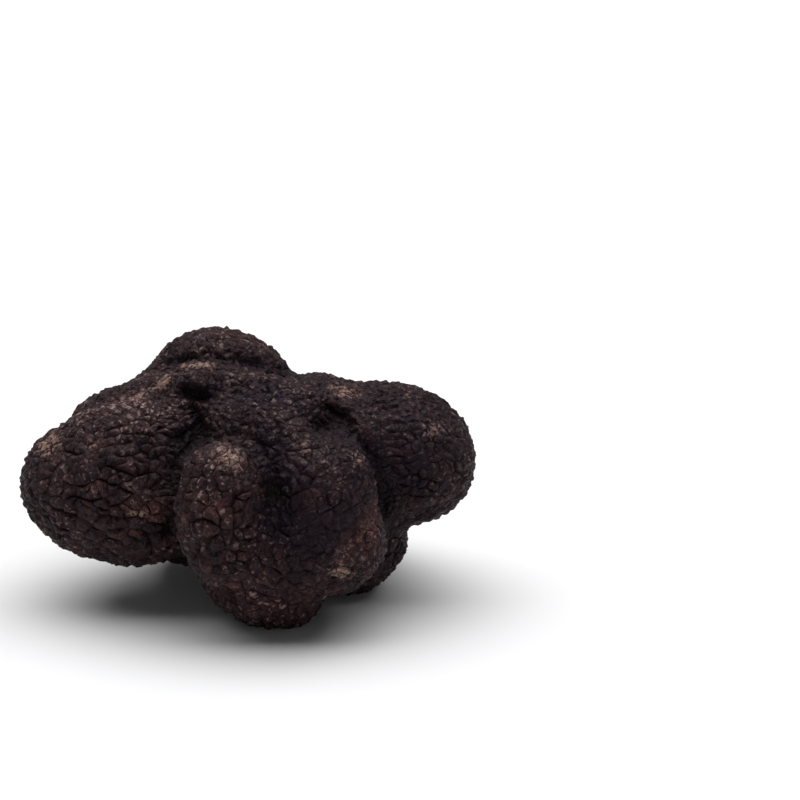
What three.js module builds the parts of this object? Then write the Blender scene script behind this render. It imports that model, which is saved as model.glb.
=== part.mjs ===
// A whole black truffle (Tuber melanosporum), as dug and brushed clean, lying on the small flat spot
// that it rests on. Units are millimetres, +Z is up and +X runs along the longest side. The origin is
// on the resting surface, under the middle of the truffle's box.
//
// A truffle grows as one solid piece. Its outer form is a clump of rounded lobes that pressed against
// each other while they swelled between stones and roots, with creases where two lobes meet. The form
// is described here as a smooth union of ellipsoids, and one closed skin is wrapped over it.
import * as THREE from "three";
import { mergeVertices } from "three/addons/utils/BufferGeometryUtils.js";

// ---- driving dimensions -------------------------------------------------------------------------
// Each lobe: its centre, its three radii, its turn in degrees about X, Y and Z if it has one, how softly
// it joins the lobes listed before it, and how deep the skin is drawn in along the crease between them.
const LOBES = [
  { name: "core", at: [5, 3, 18], radii: [14.5, 13, 13.5], join: 4 },
  { name: "brow", at: [3, -3.2, 22.2], radii: [11.5, 9.4, 9.6], join: 3 },
  { name: "upper_front_right", at: [11.2, -6.9, 22.6], radii: [8.4, 8.9, 7.8],
    join: 2, crease: 0.3 },
  { name: "lower_front_right", at: [11.6, -8, 15], radii: [9.4, 9.4, 9.4], join: 3.2, crease: 0.2 },
  { name: "front_knob", at: [-3.5, -11.2, 19.2], radii: [7.6, 8, 12.1], join: 1.6, crease: 1.1 },
  { name: "chin", at: [5.6, -9.2, 12.6], radii: [9, 8.3, 8.2], join: 3.2 },
  { name: "foot", at: [1.3, -6.3, 7.2], radii: [10.6, 8.4, 7.2], turn: [0, 25, 0],
    join: 1.6, crease: 0.5 },
  { name: "right", at: [22.2, 5, 21.9], radii: [12.4, 11.3, 11], join: 1.6, crease: 2 },
  { name: "right_ridge", at: [19, 6, 26.6], radii: [7.5, 7, 7.4], join: 2 },
  { name: "crown", at: [8, 3.5, 26.8], radii: [16, 11.5, 8], turn: [0, 2, 0], join: 2 },
  { name: "right_foot", at: [14.5, 6, 9], radii: [9.5, 10, 9.5], join: 2, crease: 0.8 },
  { name: "belly", at: [0, 5, 8], radii: [10, 10, 8.8], join: 2 },
  { name: "left_shoulder", at: [-17, 3, 19], radii: [14.2, 13.2, 13.2], turn: [0, -12, 0],
    join: 1.4, crease: 3.4 },
  { name: "left_tip", at: [-26, 2, 18.4], radii: [10.4, 8, 9.2], join: 6 },
  { name: "left_back", at: [-15.5, 13.5, 23], radii: [14.8, 9, 10], turn: [0, -28, 0],
    join: 1.4, crease: 1 },
  { name: "left_knee", at: [-22.2, 11, 24.6], radii: [7.4, 7, 6.3], join: 1.6 },
  { name: "back_crown", at: [-6.4, 16.5, 27.5], radii: [13.1, 9.5, 11.6], join: 1.4, crease: 1.6 },
  { name: "left_step", at: [-14.2, 15.5, 28], radii: [5.8, 6, 5.8], join: 1.6 },
  { name: "back_ridge", at: [9.3, 10, 27.5], radii: [9, 7, 6.2], join: 2 },
  { name: "middle_ridge", at: [0.5, 8, 30.5], radii: [8.8, 5, 4.5], join: 1.6, crease: 0.5 },
  { name: "left_ridge", at: [-14, 9, 29.6], radii: [6.5, 4.6, 4.5], join: 1.6 },
  { name: "bridge", at: [-8.1, 7.2, 34.4], radii: [4.8, 3.5, 2.5], turn: [0, -6, 0], join: 1.4 },
  { name: "apron", at: [-8.4, 5.3, 33.4], radii: [4.6, 3.4, 2.6], join: 1.2 },
  { name: "sill", at: [-8.5, 2.5, 30], radii: [3.6, 2.8, 2.6], join: 1.2 },
  { name: "back_right", at: [12, 14, 14], radii: [13, 11, 13], join: 2.5, crease: 0.8 },
  { name: "back_left", at: [-11, 13, 13], radii: [12, 10, 11.8], join: 2.5, crease: 0.6 },
];
const CREASE_WIDTH = 2.2; // how far from the meeting line of two lobes the skin is drawn in

// Where the skin is sunk deepest, beside the crown: centre, radii, turn and rim softness.
const HOLLOWS = [
  { name: "right_pit", at: [13.8, -3.4, 29.2], radii: [6.4, 2, 3], turn: [0, 48, 0], join: 1.2 },
];

const FLOOR_Z = 0; // the height of the resting surface while the lobes are placed

// Slow swells all over the skin, so that no lobe is a true ellipsoid: height, and turns per millimetre.
const SWELLS = [
  { height: 0.45, first: [0.41, 0.23, 0], firstStart: 1.3, second: [0, 0.37, -0.29], secondStart: 0.4 },
  { height: 0.35, first: [0.31, 0, 0.62], firstStart: 2.1, second: [0.22, 0.57, 0], secondStart: 0.9 },
  { height: 0.22, first: [0.9, 0.35, 0.2], firstStart: 0.6, second: [-0.3, 0.8, 0.75], secondStart: 1.7 },
];

// ---- how the skin is wrapped --------------------------------------------------------------------
const SKIN_DETAIL = 21; // subdivisions of each icosahedron side: 20 * (detail + 1)^2 triangles
const HEART = new THREE.Vector3(0, 2, 17); // a point deep inside, which the skin is first wrapped around
const REACH = 90; // where the wrapping starts, well outside every lobe
const WRAP_STEPS = 400; // the most steps that a ray takes to meet the form
const WRAP_SHARE = 0.6; // how much of the distance left a ray walks in one step
const WRAP_CLOSE = 0.01; // a ray this near the form has met it
const RELAX_STEPS = 150; // how often the skin's points are spread out
const RELAX_SHARE = 0.6; // how far a skin point moves to the middle of its neighbours in one step
const SETTLE_STEPS = 3; // how often the finished skin is smoothed, so that no crease is left ragged
const SETTLE_SHARE = 0.5; // how far a skin point moves to the middle of its neighbours while it settles
const PROBE = 0.2; // half the distance over which the form's slope is measured
const TINY = 1e-9; // a point this near a lobe's centre has no direction

// ---- the form -----------------------------------------------------------------------------------
const asEllipsoid = ({ at, radii, join, turn = [0, 0, 0], crease = 0 }) => ({
  centre: new THREE.Vector3(...at),
  radii: new THREE.Vector3(...radii),
  inverse: new THREE.Quaternion()
    .setFromEuler(new THREE.Euler(...turn.map(THREE.MathUtils.degToRad)))
    .invert(),
  join,
  crease,
});
const lobes = LOBES.map(asEllipsoid);
const hollows = HOLLOWS.map(asEllipsoid);

const local = new THREE.Vector3();
const scaled = new THREE.Vector3();

// About how far a point is outside an ellipsoid, negative inside.
function ellipsoidDistance(point, { centre, radii, inverse }) {
  local.copy(point).sub(centre).applyQuaternion(inverse);
  scaled.copy(local).divide(radii);
  const share = scaled.length();
  if (share < TINY) return -Math.min(radii.x, radii.y, radii.z);
  return (share * (share - 1)) / scaled.divide(radii).length();
}

// The smaller of two distances, rounded off where they are within width of each other.
function softMinimum(a, b, width) {
  const near = Math.max(width - Math.abs(a - b), 0) / width;
  return Math.min(a, b) - (near * near * width) / 4;
}

function wave({ x, y, z }, [turnX, turnY, turnZ], start) {
  return Math.sin(turnX * x + turnY * y + turnZ * z + start);
}

function swell(point) {
  let height = 0;
  for (const s of SWELLS) {
    height += s.height * wave(point, s.first, s.firstStart) * wave(point, s.second, s.secondStart);
  }
  return height;
}

// Joins one more lobe to the form. The skin is drawn in where both are about as near.
function joinLobe(distance, point, lobe) {
  const toLobe = ellipsoidDistance(point, lobe);
  const fromCrease = (toLobe - distance) / CREASE_WIDTH;
  return softMinimum(distance, toLobe, lobe.join) + lobe.crease * Math.exp(-fromCrease * fromCrease);
}

function formDistance(point) {
  let distance = ellipsoidDistance(point, lobes[0]);
  for (let i = 1; i < lobes.length; i += 1) distance = joinLobe(distance, point, lobes[i]);
  for (const hollow of hollows) {
    distance = -softMinimum(-distance, ellipsoidDistance(point, hollow), hollow.join);
  }
  return distance - swell(point);
}

const probe = new THREE.Vector3();

function slope(point, axis) {
  probe.copy(point);
  probe[axis] += PROBE;
  const ahead = formDistance(probe);
  probe[axis] -= 2 * PROBE;
  return (ahead - formDistance(probe)) / (2 * PROBE);
}

function outward(point, target) {
  return target.set(slope(point, "x"), slope(point, "y"), slope(point, "z"));
}

// Walks in from outside along a ray from the heart until it meets the form.
function wrapPoint(direction, target) {
  let along = REACH;
  for (let step = 0; step < WRAP_STEPS; step += 1) {
    target.copy(HEART).addScaledVector(direction, along);
    const distance = formDistance(target);
    if (distance < WRAP_CLOSE) break;
    along -= distance * WRAP_SHARE;
  }
  return target;
}

// ---- the skin -----------------------------------------------------------------------------------
function readPoints(geometry) {
  const position = geometry.getAttribute("position");
  const readPoint = (_, i) => new THREE.Vector3().fromBufferAttribute(position, i);
  return Array.from({ length: position.count }, readPoint);
}

function readTriangles(geometry) {
  const index = geometry.index.array;
  const readTriangle = (_, i) => [index[3 * i], index[3 * i + 1], index[3 * i + 2]];
  return Array.from({ length: index.length / 3 }, readTriangle);
}

const middle = new THREE.Vector3();
const sideA = new THREE.Vector3();
const sideB = new THREE.Vector3();
const normal = new THREE.Vector3();

// For every point, the middle of the triangles around it, weighted by their area.
function gatherMiddles(points, triangles, sums, weights) {
  sums.forEach((sum) => sum.set(0, 0, 0));
  weights.fill(0);
  for (const [a, b, c] of triangles) {
    middle.copy(points[a]).add(points[b]).add(points[c]).divideScalar(3);
    sideA.subVectors(points[b], points[a]);
    sideB.subVectors(points[c], points[a]);
    const area = sideA.cross(sideB).length();
    for (const i of [a, b, c]) {
      sums[i].addScaledVector(middle, area);
      weights[i] += area;
    }
  }
}

// Moves a point along the skin towards a place, and then back onto the form.
function slide(point, place) {
  outward(point, normal);
  const steepness = normal.lengthSq();
  place.sub(point);
  place.addScaledVector(normal, -place.dot(normal) / steepness);
  point.addScaledVector(place, RELAX_SHARE);
  point.addScaledVector(normal, -formDistance(point) / steepness);
}

// Spreads the skin's points evenly over the form.
function relax(points, triangles) {
  const sums = points.map(() => new THREE.Vector3());
  const weights = new Float64Array(points.length);
  for (let step = 0; step < RELAX_STEPS; step += 1) {
    gatherMiddles(points, triangles, sums, weights);
    points.forEach((point, i) => slide(point, sums[i].divideScalar(weights[i])));
  }
}

// Smooths the skin a little.
function settle(points, triangles) {
  const sums = points.map(() => new THREE.Vector3());
  const weights = new Float64Array(points.length);
  for (let step = 0; step < SETTLE_STEPS; step += 1) {
    gatherMiddles(points, triangles, sums, weights);
    points.forEach((point, i) => point.lerp(sums[i].divideScalar(weights[i]), SETTLE_SHARE));
  }
}

function truffleGeometry() {
  const ball = new THREE.IcosahedronGeometry(1, SKIN_DETAIL);
  ball.deleteAttribute("normal");
  ball.deleteAttribute("uv");
  const skin = mergeVertices(ball);
  const points = readPoints(skin);
  points.forEach((point) => wrapPoint(point.clone().normalize(), point));
  const triangles = readTriangles(skin);
  relax(points, triangles);
  settle(points, triangles);
  // Where the truffle lies on the surface its skin is pressed flat.
  const position = skin.getAttribute("position");
  points.forEach((p, i) => position.setXYZ(i, p.x, p.y, Math.max(p.z, FLOOR_Z)));
  skin.computeBoundingBox();
  const { min, max } = skin.boundingBox;
  skin.translate(-(min.x + max.x) / 2, -(min.y + max.y) / 2, -min.z);
  skin.computeVertexNormals();
  return skin;
}

// ---- the part -----------------------------------------------------------------------------------
const peridium = new THREE.MeshStandardMaterial({ color: 0x2b2321, roughness: 0.7, metalness: 0 });
const truffle = new THREE.Mesh(truffleGeometry(), peridium);
truffle.name = "truffle";

const part = new THREE.Group();
part.add(truffle);

export default part;
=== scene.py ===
import math

import bpy
import numpy as np
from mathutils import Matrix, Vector
from mathutils.bvhtree import BVHTree


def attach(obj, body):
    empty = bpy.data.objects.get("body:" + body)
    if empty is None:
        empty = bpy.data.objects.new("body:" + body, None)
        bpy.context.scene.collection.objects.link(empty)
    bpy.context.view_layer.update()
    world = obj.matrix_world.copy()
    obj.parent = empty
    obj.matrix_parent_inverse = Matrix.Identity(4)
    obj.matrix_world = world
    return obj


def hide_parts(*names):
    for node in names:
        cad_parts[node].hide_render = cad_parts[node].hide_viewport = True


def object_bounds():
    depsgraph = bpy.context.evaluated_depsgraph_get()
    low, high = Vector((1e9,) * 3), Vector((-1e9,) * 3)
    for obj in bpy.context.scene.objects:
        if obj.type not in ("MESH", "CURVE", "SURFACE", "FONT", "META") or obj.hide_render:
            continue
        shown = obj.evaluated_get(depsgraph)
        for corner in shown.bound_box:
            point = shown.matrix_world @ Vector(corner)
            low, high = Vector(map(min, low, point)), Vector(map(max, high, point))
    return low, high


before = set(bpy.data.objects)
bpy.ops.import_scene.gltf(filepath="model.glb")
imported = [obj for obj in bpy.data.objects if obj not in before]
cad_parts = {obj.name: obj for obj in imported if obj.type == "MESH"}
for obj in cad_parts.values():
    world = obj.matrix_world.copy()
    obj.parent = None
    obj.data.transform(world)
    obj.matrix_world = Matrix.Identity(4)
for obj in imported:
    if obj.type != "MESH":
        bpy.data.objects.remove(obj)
cad_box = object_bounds()

# Lengths are millimetres in the truffle's own frame, until its mesh is handed to Blender.
MM = 1000.0
TINY = 1e-12
# Each kind of thing that is drawn at random has a seed of its own.
PLACE_SEED, MIDDLE_SEED, HEIGHT_SEED, TINT_SEED, GROOVE_SEED = range(20, 25)

# ---- the places of the warts ----
BASE_LEVELS = 2  # how often the CAD skin is subdivided into the smooth base
MERGED_PER_MM = 1000  # grid on which two corners of the CAD skin count as one
# How often the normals, bends and broad facings are averaged with those around them.
NORMAL_SMOOTHING, BEND_SMOOTHING, FACING_SMOOTHING = 4, 12, 50
NORMAL_WEIGHT = 1.6  # how much a turn of the skin counts as distance between two places on it
SMALL_WART = 1.66  # width of the warts on the top and the back
WIDTH_SPREAD = 0.08  # how much the widths vary from place to place
CREASE_NARROWING = 0.25  # how much narrower warts are in a crease
CREASE_BEND = (0.05, 0.5)  # how much the skin bends where that sets in, and where it is full
LEAST_GAP = 0.78  # between two seeds, as a share of a wart's width
TRIED_PLACES, MOST_WARTS = 24000, 6000
EVENING_STEPS = 3  # how often each wart is moved to the middle of its cell
BATCH = 4096  # how many places are compared with the seeds at once
LEAST_WEIGHT = 0.02  # keeps the corner where three warts meet inside its triangle
# A noise is a sum of waves. It is given by its wavelength and its seed.
WAVES = 10
WAVE_SPREAD = (0.7, 1.35)  # lowest and highest frequency, as shares of the noise's own
WIDTH_NOISE = (9, 5)
# How the borders between warts wander: how far, the wavelength and the seed for X, which Y and Z follow.
WANDER = ((0.16, 2.6, 31), (0.3, 7, 41))
# Where warts are wider: centre, radii and extra width.
WIDE_WARTS = (
    ((-1.5, -21, 19), (9, 9, 13), 0.65),  # front knob
    ((13, -18, 17), (10, 8, 10), 0.15),  # front right lobe
    ((-20, -10, 17), (15, 10, 12), 0.75),  # left lobe
    ((-22, -8, 11), (14, 9, 7), 0.35),  # left lobe, below
    ((14, 23, 14), (12, 8, 11), 0.65),  # rear right lobe
    ((35, 2, 20), (8, 10, 10), 0.15),  # right end
    ((-12, 22, 12), (10, 8, 10), 0.45),  # rear left lobe
    ((4, -18, 6), (10, 6, 5), -0.08),  # foot
)
# The warts of the end lobes are longer along X than across it: from which x on, and how much.
STRETCH_LEFT = (-10, 1.25)
STRETCH_RIGHT = (17, 1.25)
# The rows of warts on the front of the knob, and one beside it: y, z and the x of each wart.
WART_ROWS = (
    (-14.5, 30.5, (-7, -5, -1.5)),
    (-17, 29.5, (-4, -0.5)),
    (-18.5, 28.5, (-7, -4.5, -2, 0.5)),
    (-20, 26.5, (-8.5, -6, -4, -1.5, 0.5, 2.5)),
    (-20.5, 25, (-8.5, -5.5, -3.5, -1.5, 2)),
    (-21, 23.5, (-7, 0.5, 2, 3.5)),
    (-21.5, 22, (-8, -6, -4, -1.5, 0.5)),
    (-22, 20.5, (-6.5, -4.5, 2.5)),
    (-22, 19, (-8, -1.5, 1.5, 3.5, 5)),
    (-22, 17, (-7.5, -5.5, 2.5, 5)),
    (-22, 15.5, (-3, -1, 1)),
    (-13, 19, (-16.5, -14.5)),
)
# Long cracks, each as a few places that it runs through. On the left lobe warts stand beside them.
LEFT_CRACKS = (
    ((-27, -6, 26.5), (-24.5, -8.5, 26.5)),
    ((-18, -7, 30), (-16, -8, 29.5), (-14.5, -7, 30)),
    ((-14.5, -8, 29.5), (-11, -6.5, 29)),
    ((-15.5, -9.5, 28), (-13, -10, 27), (-11.5, -10, 26.5)),
    ((-20.5, -10.5, 26), (-17, -11.5, 25), (-13.5, -11.5, 24.5)),
    ((-21.5, -11.5, 23.5), (-19.5, -12, 23.5), (-16.5, -13, 22)),
    ((-27, -10, 20.5), (-21, -12.5, 20.5), (-18, -13, 20)),
    ((-29, -9.5, 18), (-25.5, -10.5, 17.5)),
    ((-21.5, -12, 18), (-20, -13, 18)),
    ((-14.5, -13, 16), (-13.5, -11.5, 13)),
    ((-27, -4, 27.5), (-25.5, -4.5, 28.5)),
    ((-14, -5.5, 30.5), (-11.5, -3.5, 31)),
)
KNOB_CRACKS = (
    ((-4.5, -22, 21.5), (-3.5, -22, 21), (-0.5, -22, 21)),
    ((-3.5, -22, 20.5), (-3.5, -22, 17)),
    ((-0.5, -21, 25), (1.5, -20.5, 25), (2.5, -20, 24)),
    ((-7.5, -20, 21), (-5, -21.5, 21.5)),
    ((0, -22, 20), (0, -22, 18)),
    ((4, -20, 21.5), (6, -20, 19)),
)
# The creases between the lobes, each as a few places that it runs through, its width and its depth.
CREASES = (
    (((-9.5, -1, 34), (-7.5, -1.5, 33.5), (-6, -1.5, 33.5)), 0.9, 2.2),
    (((-8, -2.5, 32), (-7, -3.5, 30.5), (-6.5, -4.5, 28.5), (-8.5, -7.5, 27), (-9.5, -9, 26),
      (-10, -11.5, 24), (-10.5, -13.5, 20), (-10, -12, 14.5)), 0.9, 1.3),
    (((-6.5, -4, 29), (-9, -6, 28.5), (-10, -7.5, 28)), 1.0, 1.0),
    (((10, -3, 34.5), (12, -4.5, 33), (14.5, -5, 31), (17, -8.5, 30)), 0.9, 1.0),
    (((17, -8.5, 30), (19, -9, 27.5), (19.5, -10, 24.5), (20.5, -10.5, 21), (21, -9.5, 17.5),
      (20.5, -10.5, 15)), 0.9, 1.2),
    (((-4.5, -6, 28.5), (-2, -7.5, 30), (0.5, -9, 30), (2.5, -11, 30), (4, -14, 27), (5, -15.5, 23)),
     0.8, 0.7),
    (((-13, 10.5, 34.5), (-10.5, 9, 36), (-7.5, 7.5, 37), (-5.5, 7.5, 37), (-2, 8, 36), (2, 10, 34.5)),
     0.8, 0.8),
)
LINE_STEP = 0.5  # how finely a crack or a crease follows the skin
PAIR_STEP = 2.1  # spacing of the pairs of warts along a long crack
PAIR_OFFSET = 1.0  # how far each is from the crack


def read_skin(mesh):
    """The CAD skin with its shared corners merged: points in mm and triangles."""
    points = np.empty(len(mesh.vertices) * 3, np.float32)
    mesh.vertices.foreach_get("co", points)
    points = points.reshape(-1, 3).astype(float) * MM
    mesh.calc_loop_triangles()
    triangles = np.empty(len(mesh.loop_triangles) * 3, np.int32)
    mesh.loop_triangles.foreach_get("vertices", triangles)
    keys = np.round(points * MERGED_PER_MM).astype(np.int64)
    _, first, merged = np.unique(keys, axis=0, return_index=True, return_inverse=True)
    triangles = merged.reshape(-1)[triangles].reshape(-1, 3)
    a, b, c = triangles.T
    return points[first], triangles[(a != b) & (b != c) & (c != a)]


def triangle_sides(triangles):
    """The sides of the triangles, each as the numbers of its two ends."""
    ends = np.concatenate([triangles[:, (0, 1)], triangles[:, (1, 2)], triangles[:, (2, 0)]])
    return np.sort(ends, axis=1)


def subdivide(points, triangles):
    """One step of Loop subdivision on a closed mesh, with the weights that Loop gives."""
    count, faces = len(points), len(triangles)
    across = np.concatenate([triangles[:, 2], triangles[:, 0], triangles[:, 1]])
    edges, owner = np.unique(triangle_sides(triangles), axis=0, return_inverse=True)
    owner = owner.reshape(-1)
    opposite = np.zeros((len(edges), 3))
    np.add.at(opposite, owner, points[across])
    middles = 3 / 8 * (points[edges[:, 0]] + points[edges[:, 1]]) + opposite / 8
    ring = np.zeros_like(points)
    np.add.at(ring, edges[:, 0], points[edges[:, 1]])
    np.add.at(ring, edges[:, 1], points[edges[:, 0]])
    valence = np.bincount(edges.ravel(), minlength=count)
    share = np.where(valence == 3, 3 / 16, 3 / (8 * valence))
    kept = (1 - valence * share)[:, None] * points + share[:, None] * ring
    ab, bc, ca = (owner + count).reshape(3, faces)
    a, b, c = triangles.T
    fresh = [(a, ab, ca), (b, bc, ab), (c, ca, bc), (ab, bc, ca)]
    return np.concatenate([kept, middles]), np.concatenate([np.stack(t, axis=1) for t in fresh])


def unit(vectors):
    return vectors / np.maximum(np.linalg.norm(vectors, axis=-1, keepdims=True), TINY)


class Skin:
    """The smooth base that the warts stand on."""

    def __init__(self, points, triangles):
        self.points = points
        self.triangles = triangles
        a, b, c = (points[triangles[:, i]] for i in range(3))
        facing = np.cross(b - a, c - a)
        third_of_area = np.linalg.norm(facing, axis=1) / 6
        self.area = np.zeros(len(points))
        normals = np.zeros_like(points)
        for i in range(3):
            np.add.at(normals, triangles[:, i], facing)
            np.add.at(self.area, triangles[:, i], third_of_area)
        self.edges = np.unique(triangle_sides(triangles), axis=0)
        self.valence = np.bincount(self.edges.ravel(), minlength=len(points))
        self.normals = unit(self.smoothed(unit(normals), NORMAL_SMOOTHING))
        # Which way the skin faces on the whole, without its tight creases.
        self.facing = unit(self.smoothed(self.normals, FACING_SMOOTHING))
        # The bend is the sum of the skin's two curvatures, per mm, and is positive in a crease. The mean
        # of a point's neighbours lies off the skin by a quarter of it times their distance squared.
        off = ((self.around(points) - points) * self.normals).sum(axis=1)
        spacing = np.linalg.norm(points[self.edges[:, 0]] - points[self.edges[:, 1]], axis=1).mean()
        self.bend = self.smoothed(4 * off / spacing**2, BEND_SMOOTHING)
        self.tree = BVHTree.FromPolygons(points.tolist(), triangles.tolist())

    def around(self, values):
        """The mean of each point's neighbours."""
        total = np.zeros_like(values)
        np.add.at(total, self.edges[:, 0], values[self.edges[:, 1]])
        np.add.at(total, self.edges[:, 1], values[self.edges[:, 0]])
        return total / (self.valence[:, None] if values.ndim > 1 else self.valence)

    def smoothed(self, values, steps):
        for _ in range(steps):
            values = (values + self.around(values)) / 2
        return values

    def nearest(self, places):
        """The nearest places on the skin, with the normals, the broad facing and the bends there."""
        hits = [self.tree.find_nearest(p) for p in places.tolist()]
        found = np.array([h[0] for h in hits])
        corners = self.triangles[[h[2] for h in hits]]
        a, b, c = (self.points[corners[:, i]] for i in range(3))
        facing = np.cross(b - a, c - a)
        total = (facing * facing).sum(axis=1)
        weight_b = (np.cross(found - a, c - a) * facing).sum(axis=1) / total
        weight_c = (np.cross(b - a, found - a) * facing).sum(axis=1) / total
        weights = np.stack([1 - weight_b - weight_c, weight_b, weight_c], axis=1)
        normals = unit((self.normals[corners] * weights[:, :, None]).sum(axis=1))
        facings = unit((self.facing[corners] * weights[:, :, None]).sum(axis=1))
        return found, normals, facings, (self.bend[corners] * weights).sum(axis=1)


def lengths_along(line):
    """How far along a line each of its places is."""
    return np.concatenate([[0], np.cumsum(np.linalg.norm(np.diff(line, axis=0), axis=1))])


def places_at(line, along, at):
    """The places on a line at some lengths along it."""
    return np.stack([np.interp(at, along, line[:, k]) for k in range(3)], axis=1)


def laid(skin, lines):
    """Lines through a few places each, laid on the skin."""
    found = []
    for line in lines:
        line = np.asarray(line, float)
        along = lengths_along(line)
        at = np.linspace(0, along[-1], max(2, round(along[-1] / LINE_STEP) + 1))
        found.append(skin.nearest(places_at(line, along, at))[0])
    return found


def noise(points, wavelength, seed):
    """Smooth random values with a spread of about 1."""
    rng = np.random.default_rng(seed)
    turns = unit(rng.normal(size=(WAVES, 3))) * (2 * math.pi / wavelength)
    turns *= rng.uniform(*WAVE_SPREAD, (WAVES, 1))
    starts = rng.uniform(0, 2 * math.pi, WAVES)
    return np.sin(points @ turns.T + starts).sum(axis=1) * math.sqrt(2 / WAVES)


def noises(points, parts):
    """A sum of noises, each with its strength, wavelength and seed."""
    return sum(strength * noise(points, wavelength, seed) for strength, wavelength, seed in parts)


def blob(points, centre, radii):
    """1 at the centre, and less away from it."""
    return np.exp(-(((points - centre) / radii) ** 2).sum(axis=1))


def blobs(points, parts):
    """A sum of blobs, each with its centre, radii and strength."""
    return sum(strength * blob(points, centre, radii) for centre, radii, strength in parts)


def smoothstep(low, high, x):
    """0 up to low and 1 from high on, with a smooth step between them."""
    t = np.clip((x - low) / (high - low), 0, 1)
    return t * t * (3 - 2 * t)


def wart_width(points, bend):
    width = np.full(len(points), SMALL_WART)
    for centre, radii, extra in WIDE_WARTS:
        width += extra * blob(points, centre, radii)
    width *= 1 + WIDTH_SPREAD * noise(points, *WIDTH_NOISE)
    return width * (1 - CREASE_NARROWING * smoothstep(*CREASE_BEND, bend))


def squeezed(x):
    """X as the spacing of the warts sees it, and how much it is squeezed there."""
    left, left_by = STRETCH_LEFT
    right, right_by = STRETCH_RIGHT
    place = np.where(x < left, left + (x - left) / left_by, x)
    place = np.where(x > right, right + (x - right) / right_by, place)
    by = np.where(x < left, left_by, np.where(x > right, right_by, 1.0))
    return place, by


def wart_space(points, facing):
    """Places on the skin in the space where warts are as far apart as they are wide."""
    place = points.copy()
    place[:, 0], _ = squeezed(points[:, 0])
    for axis in range(3):
        parts = [(far, wavelength, seed + axis) for far, wavelength, seed in WANDER]
        place[:, axis] += noises(points, parts)
    return np.concatenate([place, NORMAL_WEIGHT * facing], axis=1)


def nearest_seeds(space, seeds):
    """The number of the nearest seed to each place."""
    labels = np.empty(len(space), np.int64)
    lengths = (seeds * seeds).sum(axis=1)
    for start in range(0, len(space), BATCH):
        part = space[start : start + BATCH]
        labels[start : start + BATCH] = (lengths - 2 * part @ seeds.T).argmin(axis=1)
    return labels


def crack_pairs(skin):
    """Places for warts on both sides of the long cracks."""
    places, headings = [], []
    for line in laid(skin, LEFT_CRACKS):
        along = lengths_along(line)
        count = max(1, round(along[-1] / PAIR_STEP))
        at = (np.arange(count) + 0.5) / count * along[-1]
        ahead, behind = (places_at(line, along, at + step) for step in (LINE_STEP, -LINE_STEP))
        places.append(places_at(line, along, at))
        headings.append(unit(ahead - behind))
    places = np.concatenate(places)
    _, normals, _, _ = skin.nearest(places)
    aside = np.cross(normals, np.concatenate(headings)) * PAIR_OFFSET
    return np.concatenate([places + aside, places - aside])


def place_seeds(skin, space, width):
    """One seed for each wart, about a wart's width apart. The first are those whose places are set."""
    rows = [(x, y, z) for y, z, row in WART_ROWS for x in row]
    fixed, _, facings, _ = skin.nearest(np.concatenate([rows, crack_pairs(skin)]))
    fixed = wart_space(fixed, facings)
    rng = np.random.default_rng(PLACE_SEED)
    _, by = squeezed(skin.points[:, 0])
    apart = width / np.sqrt(by)
    chance = skin.area / apart**2
    order = rng.choice(len(space), size=TRIED_PLACES, replace=False, p=chance / chance.sum())
    seeds = np.empty((MOST_WARTS, space.shape[1]))
    count = len(fixed)
    seeds[:count] = fixed
    for i in order:
        gap = seeds[:count] - space[i]
        if (gap * gap).sum(axis=1).min() < (LEAST_GAP * apart[i]) ** 2:
            continue
        seeds[count] = space[i]
        count += 1
    return evened(skin, space, seeds[:count], len(fixed), apart)


def evened(skin, space, seeds, fixed_count, apart):
    """Moves the seeds to the middles of their cells, apart from those whose places are set."""
    fixed = seeds[:fixed_count].copy()
    weight = skin.area / apart**4
    for _ in range(EVENING_STEPS):
        labels = nearest_seeds(space, seeds)
        total = np.bincount(labels, weight, len(seeds))
        middle = [np.bincount(labels, weight * space[:, k], len(seeds)) for k in range(space.shape[1])]
        fresh = np.stack(middle, axis=1) / np.maximum(total, TINY)[:, None]
        seeds = np.where(total[:, None] > 0, fresh, seeds)
        seeds[:fixed_count] = fixed
    return seeds


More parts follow.
